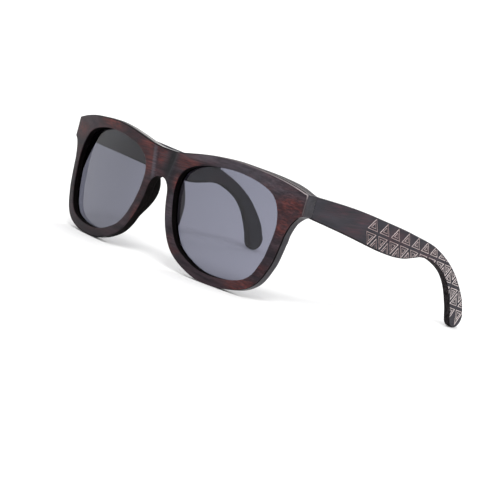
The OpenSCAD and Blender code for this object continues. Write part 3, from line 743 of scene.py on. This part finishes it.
def make_front():
    """Front board with rounded edges, its layers and grooves, and the pockets of the hinge leaves."""
    shape = Shape()
    outline = front_outline()
    openings = [evenly(OPENING), evenly(mirrored(OPENING))]

    def at(p, y):
        return (p.x, y, p.y)

    def moved(points, distance):
        return [p + outward(points, i) * (distance(p) if callable(distance) else distance)
                for i, p in enumerate(points)]

    def strip(points, profile):
        """Joins rings along a profile of (how far out of the outline, where in depth, material of the stretch
        before); gives the first and the last ring."""
        rings = [(shape.ring([at(p, depth(p)) for p in line]), line)
                 for line, depth in ((moved(points, out), depth) for out, depth, _ in profile)]
        for (a, _), (b, _), (_, _, mark) in zip(rings, rings[1:], profile[1:]):
            shape.bridge(a, b, [mark(p) for p in points] if callable(mark) else mark)
        return rings[0], rings[-1]

    def front(depth):
        return lambda p: face_y(p.x, p.y) + depth

    def back(depth):
        return lambda p: back_y(p.x, p.y) - (depth(p) if callable(depth) else depth)

    def ply(depth):
        return lambda p: max(bow(p.x) + depth, face_y(p.x, p.y) + EDGE_FRONT + 0.01)

    # Walls round the nose get the nose wall's painted shade
    def by_nose(p):
        return abs(p.x) < NOSE_REACH and p.y < NOSE_ARCH + 1

    def on_top(p):
        return p.y > END_TOP + 0.2 or (abs(p.x) < BRIDGE_REACH and p.y > NOSE_ARCH + 5)

    # The rounded front edge takes a painted dark reflection, with a painted highlight on the brow towards the
    # wearer's left
    def edge(p):
        return EDGE if p.y > END_Z + 0.6 or p.x < -NOSE_REACH else WOOD

    # Near-black band of the outer wall next to the front face: partly a dark veneer and partly a painted dark
    # reflection along the edge
    def veneer(p):
        on_end = abs(p.x) > END_REACH and END_Z - 1 < p.y < END_TOP + 0.5
        return NOSE if by_nose(p) else WALL if on_end else OPENING_WALL

    def outer(p):
        return NOSE if by_nose(p) else TOP if on_top(p) else WALL

    def line(p):
        return PLY if on_top(p) else outer(p)

    profile = [(-inset, front(depth), edge if 0 < depth < EDGE_FRONT * 0.9 else WOOD)
               for inset, depth in rounding(EDGE_FRONT)]
    profile += [(0, ply(VENEER), veneer), (0, ply(PALE_PLY), outer),
                (-PLY_GROOVE, ply(PALE_PLY + PALE_PLY_T / 2), line), (0, ply(PALE_PLY + PALE_PLY_T), line)]
    profile += [((lambda p, i=inset: -i * back_edge(p)), back(lambda p, d=depth: d * back_edge(p)), outer)
                for inset, depth in reversed(rounding(1))]
    face_rings, back_rings = [list(x) for x in zip(strip(outline, profile))]
    lens_front, lens_back = LENS_INSET - LENS_PLAY, LENS_INSET + LENS_T + LENS_PLAY
    wall = [(inset, front(depth), WOOD) for inset, depth in rounding(EDGE_OPENING)]
    wall += [(0, ply(lens_front), OPENING_WALL), (GROOVE, ply(lens_front), OPENING_WALL),
             (GROOVE, ply(lens_back), OPENING_WALL), (0, ply(lens_back), OPENING_WALL)]
    wall += [(inset, back(depth), BEHIND) for inset, depth in reversed(rounding(2 * EDGE_OPENING))]
    for opening in openings:
        first, last = strip(opening, wall)
        face_rings.append(first)
        back_rings.append(last)

    heights = np.linspace(NOSE_ARCH - 1, BRIDGE_TOP + 2, 30)
    ridges = [[Vector((side * ridge_x(z), z)) for z in heights] for side in (-1, 1)]
    ridges = [part for whole in ridges for a, b in zip(whole, whole[1:])
              for part in clipped(a, b, face_rings[0][1])]
    shape.cap(face_rings, lambda x, z, low: (x, face_y(x, z) + low, z), fine=lambda p: abs(p.x) < FINE_BRIDGE,
              lines=ridges)

    leaf = (PIN_X - LEAF_L - GLUE, PIN_X + KNUCKLE_R + GLUE,
            HINGE_Z - STACK_H / 2 - GLUE, HINGE_Z + STACK_H / 2 + GLUE)
    edges = [[Vector((side * p.x, p.y)) for p in rectangle(*leaf)] for side in (1, -1)]
    shape.cap(back_rings, lambda x, z, low: (x, back_y(x, z) - low, z),
              fine=lambda p: abs(p.x) > FINE_END and p.y > END_Z - 4, lines=edges,
              sunk=lambda centres: within(abs(centres), *leaf) * (LEAF_T + GLUE), marks=(BACK, BACK, BACK))
    add_piece("front_board", shape, FRONT_LOOKS, "front", "front_wood", "front_frame")


# Temples

TIP_STEPS, SEAM_STEPS = 30, 12


def in_temple(s, x, z):
    """Point of the left temple from its run s behind the seam, its place x out of the outer face and its height."""
    return (HALF_W + x * math.cos(TOE) - s * math.sin(TOE), SEAM_Y + x * math.sin(TOE) + s * math.cos(TOE), z)


def temple_outline():
    """Outline of a temple as run and height, clockwise from the seam, and the number of points on the seam."""
    tip = Vector((REACH - TIP_W / 2, TIP_W / 2))
    tail = tip - Vector((BEND, BEND_Z))
    line = [(-1, HINGE_Z, END_H / 2), (BEND * 0.34, HINGE_Z - FALL * 0.36, TEMPLE_H * 0.45),
            (BEND * 0.675, HINGE_Z - FALL * 0.81, TEMPLE_H * 0.5),
            (BEND * 0.825, HINGE_Z - FALL * 0.955, TEMPLE_H * 0.465),
            (BEND * 0.912, HINGE_Z - FALL * 0.98, TEMPLE_H * 0.385), (BEND, BEND_Z, NECK_H * 0.6),
            (BEND + tail.x * 0.223, BEND_Z + tail.y * 0.057, NECK_H * 0.5),
            (BEND + tail.x * 0.504, BEND_Z + tail.y * 0.221, NECK_H * 0.46),
            (BEND + tail.x * 0.722, BEND_Z + tail.y * 0.447, TIP_W * 0.35),
            (BEND + tail.x * 0.909, BEND_Z + tail.y * 0.761, TIP_W * 0.465), (tip.x, tip.y, TIP_W * 0.5)]
    mid = curve(line)
    top, low = [], []
    for i, p in enumerate(mid):
        a, b = mid[max(0, i - 1)], mid[min(len(mid) - 1, i + 1)]
        v = (b - a).to_2d().normalized()
        side = Vector((-v.y, v.x)) if i else Vector((0, 1))
        top.append(p.to_2d() + side * p.z)
        low.append(p.to_2d() - side * p.z)
    start = math.atan2(top[-1].y - tip.y, top[-1].x - tip.x)
    turn = [tip + TIP_W / 2 * Vector((math.cos(start - a), math.sin(start - a)))
            for a in (math.pi * i / TIP_STEPS for i in range(1, TIP_STEPS))]
    edge = [p for p in top if p.x > SEAM_GAP] + turn + [p for p in reversed(low) if p.x > SEAM_GAP]
    seam = [Vector((SEAM_GAP, low_z)) for low_z in np.linspace(END_Z, END_TOP, SEAM_STEPS)]
    long_edge = evenly_open([seam[-1]] + edge + [seam[0]])
    return long_edge[:-1] + seam[:-1], len(seam)


# Engraving: rows of nested triangles, in millimetres on the temple's outer face. Each of the two bands has an outer
# and an inner edge, as distances from the triangle's sides and from the side that rises towards the tip
ROW_START, ROW_FALL = Vector((37.1, 38.1)), math.radians(8.2)
ROW_PITCH, PITCH_LOSS, TAIL_FROM, TAIL_PITCH, TAIL_SHIFT = 9.07, 0.159, 8, 6.8, -2.8
TRIANGLE_W, WIDTH_LOSS, LEAST_W = 7.5, 0.25, 5.8
TRIANGLE_H, DOWN_H, UP_H, LAST_H = 5.0, 5.3, 5.7, 6.8
ROW_GAP, STRIP_PITCH, UP_SHIFT = 1.3, 8.4, 0.25
BANDS = [((0.0, 0.0), (0.28, 0.41)), ((0.88, 1.02), (1.12, 1.34))]
ENGRAVE_DEPTH, BORDER = 0.22, 0.06
TRIANGLES_PER_ROW, STRIPS = 12, 4


def triangles():
    """Corners of the engraved triangles: a first row pointing up, then strips of alternating ones."""
    run = Vector((math.cos(ROW_FALL), -math.sin(ROW_FALL)))
    rise = Vector((math.sin(ROW_FALL), math.cos(ROW_FALL)))

    def triangle(start, drop, width, height):
        a = ROW_START + run * start - rise * drop
        return [a, a + run * width, a + run * width / 2 + rise * height]

    def place(k):
        near = min(k, TAIL_FROM)
        return ROW_PITCH * near - PITCH_LOSS * near**2 + TAIL_PITCH * (k - near)

    found = []
    for strip in range(STRIPS):
        for k in range(TRIANGLES_PER_ROW):
            start = place(k) + (TAIL_SHIFT if strip > 1 else 0)
            half_pitch = (place(k + 1) - place(k)) / 2
            width = max(LEAST_W, TRIANGLE_W - WIDTH_LOSS * k)
            if strip == 0:
                found.append(triangle(start, 0, width, TRIANGLE_H))
                continue
            last = strip == STRIPS - 1
            height = LAST_H if last else DOWN_H
            drop = ROW_GAP + STRIP_PITCH * (strip - 1)
            found.append(triangle(start + half_pitch * last, drop, width, -height))
            if not last:
                found.append(triangle(start + half_pitch, STRIP_PITCH * strip - UP_SHIFT, width, UP_H))
    return found


def rising(corners):
    """Number of a triangle's side that rises towards the tip."""
    a, _, c = corners
    return 2 if c.y > a.y else 1


def smaller(corners, distance, rising_distance):
    """A triangle with its sides moved inwards by a distance, the rising side by its own."""
    middle = sum(corners, Vector((0, 0))) / 3
    lines = []
    for i, p in enumerate(corners):
        along_it = (corners[(i + 1) % 3] - p).normalized()
        into = Vector((-along_it.y, along_it.x))
        into *= math.copysign(1, into.dot(middle - p))
        lines.append((into, into.dot(p) + (rising_distance if i == rising(corners) else distance)))
    moved = []
    for (m, j), (n, k) in zip(lines[-1:] + lines, lines):
        moved.append(Vector((j * n.y - k * m.y, m.x * k - n.x * j)) / m.cross(n))
    return moved


def clipped(a, b, outline):
    """The stretches of the line a to b that lie inside an outline, a hair longer so that they meet the outline."""
    cuts = [0.0, 1.0]
    d = b - a
    for i, p in enumerate(outline):
        e = outline[(i + 1) % len(outline)] - p
        turn = d.cross(e)
        if abs(turn) > 1e-12:
            t, u = (p - a).cross(e) / turn, (p - a).cross(d) / turn
            if 0 < t < 1 and 0 <= u < 1:
                cuts.append(t)
    cuts.sort()
    hair = HAIR / d.length
    spans = [(t0, t1) for t0, t1 in zip(cuts, cuts[1:]) if t1 - t0 > 2 * hair]
    middles = [tuple(a + d * (t0 + t1) / 2) for t0, t1 in spans]
    kept = inside(middles, outline) if middles else []
    return [[a + d * (t0 - hair if t0 > 0 else 0), a + d * (t1 + hair if t1 < 1 else 1)]
            for (t0, t1), ok in zip(spans, kept) if ok]


TEMPLE_FACE, CUT, LIT_CUT, LOW_EDGE = range(4)
TEMPLE_LOOKS = [TEMPLE_WOOD, PALE_LINE, LIT_SLANT, TEMPLE_LOW_SHADE]

# A temple's wall counts as its lower edge, which takes painted shade, where it faces down or forward by at least
# this much
LOW_Z, LOW_S = -0.3, -0.5


def stroke_marks(centres):
    """Material of each engraved stroke: the sides that rise towards the tip are paler, painted light where their
    groove walls catch the light.
    """
    marks = np.full(len(centres), CUT)
    for corners in triangles():
        away = []
        for p, q in zip(corners, corners[1:] + corners[:1]):
            d = (q - p).normalized()
            away.append(abs((centres[:, 0] - p.x) * d.y - (centres[:, 1] - p.y) * d.x))
        marks[inside(centres, corners) & (np.argmin(away, axis=0) == rising(corners))] = LIT_CUT
    return marks


def temple_shape():
    """Temple on the wearer's left."""
    shape = Shape()
    outline, seam_count = temple_outline()
    n = len(outline)
    seam = range(n - seam_count + 1, n + 1)
    flat_s = HOUSING_S + HOUSING_L + TAB_L + FLAT_RUN

    def inner_x(s):
        return -TEMPLE_T + (TEMPLE_T - TIP_T) * max(0, (s - flat_s) / (REACH - flat_s))

    def place(s, z, x):
        on_seam = s <= SEAM_GAP + 0.01
        return in_temple((SEAM_GAP - x * math.sin(TOE)) / math.cos(TOE) if on_seam else s, x, z)

    def inset(i, distance):
        p = outline[i % n]
        if i in seam or i == 0:
            return Vector((p.x, HINGE_Z + (p.y - HINGE_Z) * (1 - distance / (END_H / 2))))
        return p - outward(outline, i) * distance

    def ring(distance, x_of):
        line = [inset(i, distance) for i in range(n)]
        return shape.ring([place(p.x, p.y, x_of(p.x)) for p in line]), line

    rings = [ring(i, lambda s, d=d: -d) for i, d in rounding(EDGE_TEMPLE_OUT)]
    rings += [ring(i, lambda s, d=d: inner_x(s) + d) for i, d in reversed(rounding(EDGE_TEMPLE_IN))]
    out = [outward(outline, i) for i in range(n)]
    edge_marks = [LOW_EDGE if i not in seam and (v.y < LOW_Z or v.x < LOW_S) else TEMPLE_FACE
                  for i, v in enumerate(out)]
    for (a, _), (b, _) in zip(rings, rings[1:]):
        shape.bridge(a, b, edge_marks)

    border = [inset(i, EDGE_TEMPLE_OUT + BORDER) for i in range(n)]
    lines = [border + border[:1]]
    for corners in triangles():
        for band in BANDS:
            for distances in band:
                edge = smaller(corners, *distances)
                for a, b in zip(edge, edge[1:] + edge[:1]):
                    lines += clipped(a, b, border)

    def engraving(centres):
        deep = np.zeros(len(centres), bool)
        for corners in triangles():
            for outer, inner in BANDS:
                deep |= inside(centres, smaller(corners, *outer)) & ~inside(centres, smaller(corners, *inner))
        return (deep & inside(centres, border)) * ENGRAVE_DEPTH

    shape.cap([rings[0]], lambda s, z, low: place(s, z, -low), lines=lines, sunk=engraving,
              marks=(TEMPLE_FACE, CUT, stroke_marks))

    housing = (HOUSING_S - GLUE, HOUSING_S + HOUSING_L + TAB_L + GLUE,
               HINGE_Z - HOUSING_H / 2 - GLUE, HINGE_Z + HOUSING_H / 2 + GLUE)
    shape.cap([rings[-1]], lambda s, z, low: place(s, z, inner_x(s) + low), lines=[rectangle(*housing)],
              sunk=lambda centres: within(centres, *housing) * (INLAY + GLUE))
    return shape


# Nose pads and lenses

def pad_shape():
    """Domed pad behind the nose side of the left rim, thin at both ends."""
    shape = Shape()
    stretch = range(PAD_FIRST * CURVE_STEPS, PAD_LAST * CURVE_STEPS + 1)
    inner = [beside_opening(i, PAD_MARGIN) for i in stretch]
    outer = [beside_opening(i, rim(min(i / CURVE_STEPS, PAD_RIM)) - PAD_MARGIN) for i in stretch]
    rows = []
    for a, b in zip(inner, outer):
        run = abs((a.y + b.y) / 2 - PAD_Z) / (PAD_L / 2 + PAD_REACH)
        if run > PAD_STOP:
            continue
        height = PAD_OUT * (1 - run**2) ** PAD_FALL
        line = []
        for j in range(PAD_ACROSS + 1):
            u = 0.5 - 0.5 * math.cos(math.pi * j / PAD_ACROSS)
            p = a.lerp(b, u)
            dome = height * (1 - abs(2 * u - 1) ** PAD_DOME) ** 0.5
            line.append((p.x, bow(p.x, FRONT_T + GLUE) + dome, p.y))
        rows.append(shape.ring(line))
    for a, b in zip(rows, rows[1:]):
        for j in range(PAD_ACROSS):
            # The lens side of the pad in paler wood as painted light; the rest near-black as painted shade
            shape.face([a[j], a[j + 1], b[j + 1], b[j]], 1 if j < PAD_ACROSS * PAD_LIT else 0)
        shape.face([a[0], b[0], b[-1], a[-1]])
    shape.face(rows[0])
    shape.face(rows[-1])
    return shape


def lens_shape():
    """Bowed left lens with a softened edge, let into the rim's groove."""
    shape = Shape()
    line = evenly(OPENING, LENS_STEP)

    def ring(out, y_of):
        points = [p + outward(line, i) * out for i, p in enumerate(line)]
        return shape.ring([(p.x, y_of(p.x), p.y) for p in points]), points

    reach = GROOVE - LENS_PLAY
    rings = [ring(reach - inset, lambda x, d=depth: bow(x, LENS_INSET + d)) for inset, depth in rounding(LENS_SOFT)]
    rings += [ring(reach - inset, lambda x, d=depth: bow(x, LENS_INSET + LENS_T - d))
              for inset, depth in reversed(rounding(LENS_SOFT))]
    for (a, _), (b, _) in zip(rings, rings[1:]):
        shape.bridge(a, b)
    shape.cap([rings[0]], lambda x, z, low: (x, bow(x, LENS_INSET), z), spacing=LENS_FILL)
    shape.cap([rings[-1]], lambda x, z, low: (x, bow(x, LENS_INSET + LENS_T), z), spacing=LENS_FILL)
    return shape


# Springs of the hinges

def on_axis(s, out=0.0, up=0.0):
    """Point in the left temple's frame, from its run s along the axis of the spring."""
    return in_temple(s, PIVOT_X + out, HINGE_Z + up)


def spring_shape():
    """Coil of round wire on the left slider's rod, between the housing's shoulder and the collar."""
    shape = Shape()
    per_curl, sides = 20, 8
    count = int(CURLS * per_curl)
    first, run = SPRING_S + GLUE + WIRE_D / 2, SPRING_L - WIRE_D - 2 * GLUE
    wire = [(WIRE_D / 2 * math.sin(b), COIL_D / 2 + WIRE_D / 2 * math.cos(b))
            for b in (2 * math.pi * k / sides for k in range(sides))]
    rings = []
    for i in range(count + 1):
        turn = 2 * math.pi * i / per_curl
        rings.append(shape.ring([on_axis(first + run * i / count + s, r * math.cos(turn), r * math.sin(turn))
                                 for s, r in wire]))
    for a, b in zip(rings, rings[1:]):
        shape.bridge(a, b)
    shape.face(rings[0])
    shape.face(rings[-1])
    return shape


# Scene, in metres

FLOOR_R, SWEEP_R, FLOOR_DROP = 1.8, 1.2, 0.0001
FLOOR_STEPS, SWEEP_STEPS = 72, 12
WORLD_STRENGTH = 1.05
CAMERA_PLACE = (0.510507, -0.552714, 0.094405)
CAMERA_RIGHT = (0.684784, 0.67931, 0.263834)
CAMERA_UP = (-0.267715, -0.102224, 0.95806)
CAMERA_BACK = (0.67779, -0.726697, 0.11186)
SENSOR, FOCAL = 36, 121.96


def make_stage():
    """Pale floor that sweeps up all round into a plain backdrop."""
    work = bmesh.new()
    profile = [(r, 0.0) for r in (0.0, 0.4, 0.9, 1.4, FLOOR_R)]
    profile += [(FLOOR_R + SWEEP_R * math.sin(a), SWEEP_R - SWEEP_R * math.cos(a))
                for a in (math.pi / 2 * i / SWEEP_STEPS for i in range(1, SWEEP_STEPS + 1))]
    verts = [work.verts.new((r, 0, z - FLOOR_DROP)) for r, z in profile]
    lines = [work.edges.new((a, b)) for a, b in zip(verts, verts[1:])]
    bmesh.ops.spin(work, geom=verts + lines, cent=(0, 0, 0), axis=(0, 0, 1), angle=2 * math.pi, steps=FLOOR_STEPS,
                   use_merge=True)
    bmesh.ops.remove_doubles(work, verts=work.verts, dist=TINY)
    bmesh.ops.recalc_face_normals(work, faces=work.faces)
    mesh = bpy.data.meshes.new("floor")
    work.to_mesh(mesh)
    work.free()
    mesh.shade_smooth()
    mesh.materials.append(pale_floor("pale_floor"))
    floor = bpy.data.objects.new("floor", mesh)
    bpy.context.scene.collection.objects.link(floor)


def area_light(name, place, size, power, aim):
    """Soft square light."""
    data = bpy.data.lights.new(name, "AREA")
    data.size, data.energy = size, power
    light = bpy.data.objects.new(name, data)
    light.location = place
    light.rotation_euler = (Vector(aim) - Vector(place)).to_track_quat("-Z", "Y").to_euler()
    bpy.context.scene.collection.objects.link(light)


def make_light():
    """White surroundings, a soft key light and a light on the backdrop."""
    world = bpy.data.worlds.new("studio")
    world.use_nodes = True
    background = world.node_tree.nodes["Background"].inputs
    background["Color"].default_value = (1, 1, 1, 1)
    background["Strength"].default_value = WORLD_STRENGTH
    bpy.context.scene.world = world
    area_light("key", place=(0.6, -0.7, 1.0), size=0.5, power=9, aim=(0, 0, 0.025))
    area_light("backdrop", place=(-0.9, 1.0, 2.2), size=1.2, power=28, aim=(-2.0, 2.1, 0.5))
    bpy.context.scene.view_settings.view_transform = "Standard"


def make_camera():
    """Camera in front of the wearer's left side, a little above the glasses and rolled about its own axis."""
    data = bpy.data.cameras.new("camera")
    data.sensor_width, data.lens = SENSOR, FOCAL
    data.clip_start, data.clip_end = 0.01, 20
    camera = bpy.data.objects.new("camera", data)
    turn = Matrix((CAMERA_RIGHT, CAMERA_UP, CAMERA_BACK)).transposed().to_4x4()
    camera.matrix_world = Matrix.Translation(CAMERA_PLACE) @ turn
    bpy.context.scene.collection.objects.link(camera)
    bpy.context.scene.camera = camera


make_camera()
make_light()
make_stage()
make_front()
temple, pad, lens, spring = temple_shape(), pad_shape(), lens_shape(), spring_shape()
spring_ends = [Vector(row(on_axis(s))) for s in (SPRING_S, SPRING_S + SPRING_L)]
for hand in ("left", "right"):
    if hand == "right":
        temple, pad, lens, spring = (piece.other_side() for piece in (temple, pad, lens, spring))
        spring_ends = [Vector((-p.x, p.y, p.z)) for p in spring_ends]
    add_piece(f"temple_{hand}_arm", temple, TEMPLE_LOOKS, f"temple_{hand}", "temple_wood", f"temple_{hand}")
    add_piece(f"nose_pad_{hand}_wood", pad, [NOSE_WALL, PAD_LIT_WOOD], "front", "front_wood", f"nose_pad_{hand}")
    add_piece(f"lens_{hand}_plate", lens, [LENS_TINT], "front", "tinted_lens", f"lens_{hand}")
    add_piece(f"spring_{hand}_coil", spring, [SCREW_STEEL], (f"temple_{hand}", f"slider_{hand}", *spring_ends),
              "hinge_steel", f"spring_{hand}")
for node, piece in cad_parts.items():
    if not piece.hide_render:
        piece.data.materials.clear()
        piece.data.materials.append(SCREW_STEEL if "screw" in node else STEEL)
